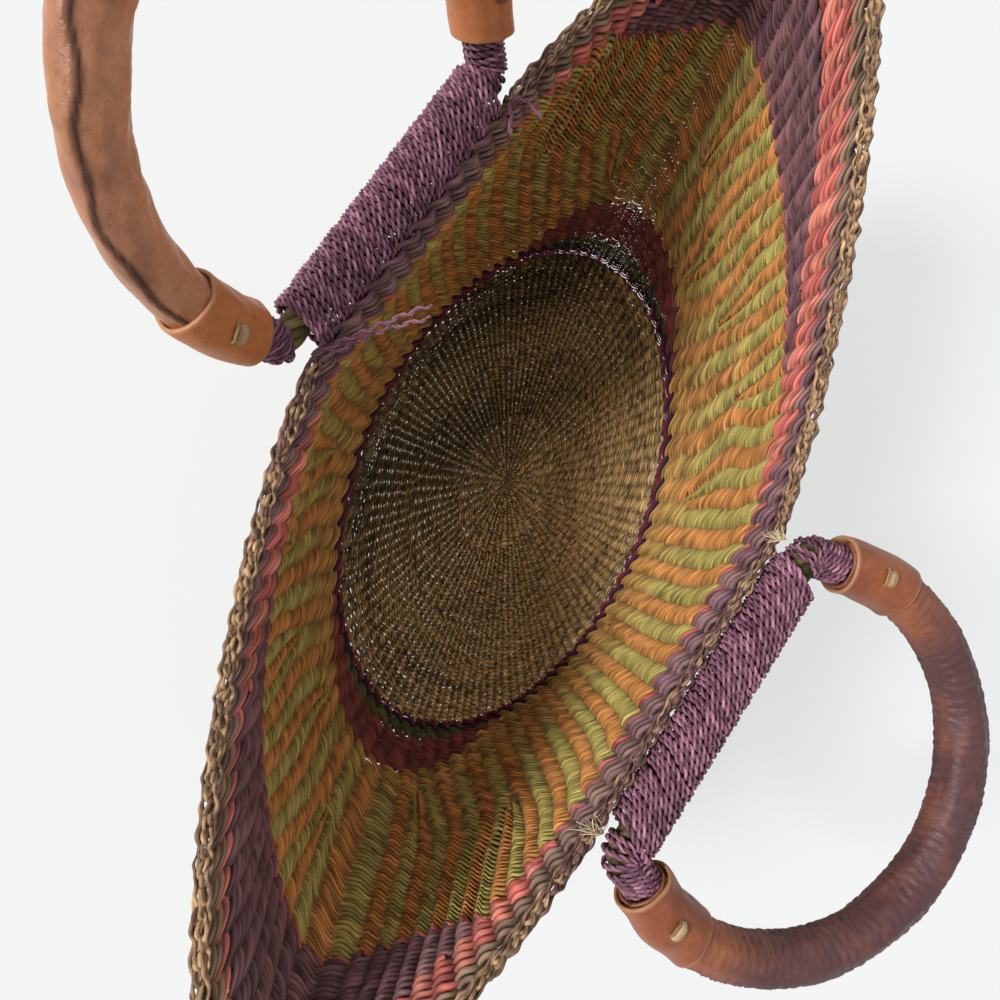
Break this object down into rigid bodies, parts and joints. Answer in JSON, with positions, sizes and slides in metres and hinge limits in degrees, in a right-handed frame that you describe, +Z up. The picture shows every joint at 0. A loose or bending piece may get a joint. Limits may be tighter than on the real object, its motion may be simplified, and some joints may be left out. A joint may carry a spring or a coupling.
{
  "type": "woven straw market basket",
  "caption": "Boat-shaped basket woven of coloured straw in bands, with a plaited rim that rises to pointed ends and leather-covered ring handles lashed to the rim.",
  "frame": {"origin": "on the flat underside, straight below the middle of the rim", "axes": "+Z up; X along the two handle bars and the basket's length; the handles are on the +Y side (left in the picture) and the -Y side (right)"},
  "size_m": [0.5687, 0.5146, 0.3806],
  "materials": {
    "floor_straw": "twined dark olive-brown straw",
    "magenta_straw": "twined magenta straw",
    "navy_straw": "twined navy straw",
    "green_straw": "twined olive-green straw",
    "maroon_straw": "twined maroon straw",
    "striped_straw": "twined straw in olive-green and orange-ochre columns",
    "plum_straw": "thick plum-brown straw",
    "salmon_straw": "thick salmon-red straw",
    "top_row_straw": "thick plum strands that turn tan-brown",
    "plait_straw": "plaited tan and plum straw",
    "lashing_cord": "two-ply mauve-plum straw cord",
    "core_rope": "green-brown straw rope",
    "pale_straw": "undyed pale straw",
    "cover_leather": "reddish brown, worn and wrinkled",
    "collar_leather": "orange-brown with a pale cut edge"
  },
  "bodies": {
    "basket": {"floor_weave": "floor_straw", "magenta_row": "magenta_straw", "navy_row": "navy_straw", "green_crescent_front": "green_straw", "green_crescent_back": "green_straw", "maroon_crescent_front": "maroon_straw", "maroon_crescent_back": "maroon_straw", "striped_wall": "striped_straw", "plum_crescent_front": "plum_straw", "plum_crescent_back": "plum_straw", "salmon_crescent_front": "salmon_straw", "salmon_crescent_back": "salmon_straw", "top_rows": "top_row_straw", "rim_plait": "plait_straw", "left_bar_lashing": "lashing_cord", "right_bar_lashing": "lashing_cord", "long_cord_end_1": "lashing_cord", "long_cord_end_2": "lashing_cord", "short_cord_end_1": "lashing_cord", "short_cord_end_2": "lashing_cord", "frayed_straw_inner": "pale_straw", "frayed_straw_outer": "pale_straw"},
    "left_handle": {"left_handle_core": "core_rope", "left_leather_cover": "cover_leather", "left_handle_collar_left": "collar_leather", "left_handle_collar_right": "collar_leather", "left_handle_knot_left": "pale_straw", "left_handle_knot_right": "pale_straw"},
    "right_handle": {"right_handle_core": "core_rope", "right_leather_cover": "cover_leather", "right_handle_collar_left": "collar_leather", "right_handle_collar_right": "collar_leather", "right_handle_knot_left": "pale_straw", "right_handle_knot_right": "pale_straw"}
  },
  "joints": [
    {"name": "left_handle_tilt", "type": "hinge", "parent": "basket", "child": "left_handle", "pos_m": [0.052, 0.13136, 0.232], "axis": [1, 0, 0], "range_deg": [-111, 46]},
    {"name": "right_handle_tilt", "type": "hinge", "parent": "basket", "child": "right_handle", "pos_m": [-0.052, -0.13136, 0.232], "axis": [-1, 0, 0], "range_deg": [-39, 118]}
  ]
}
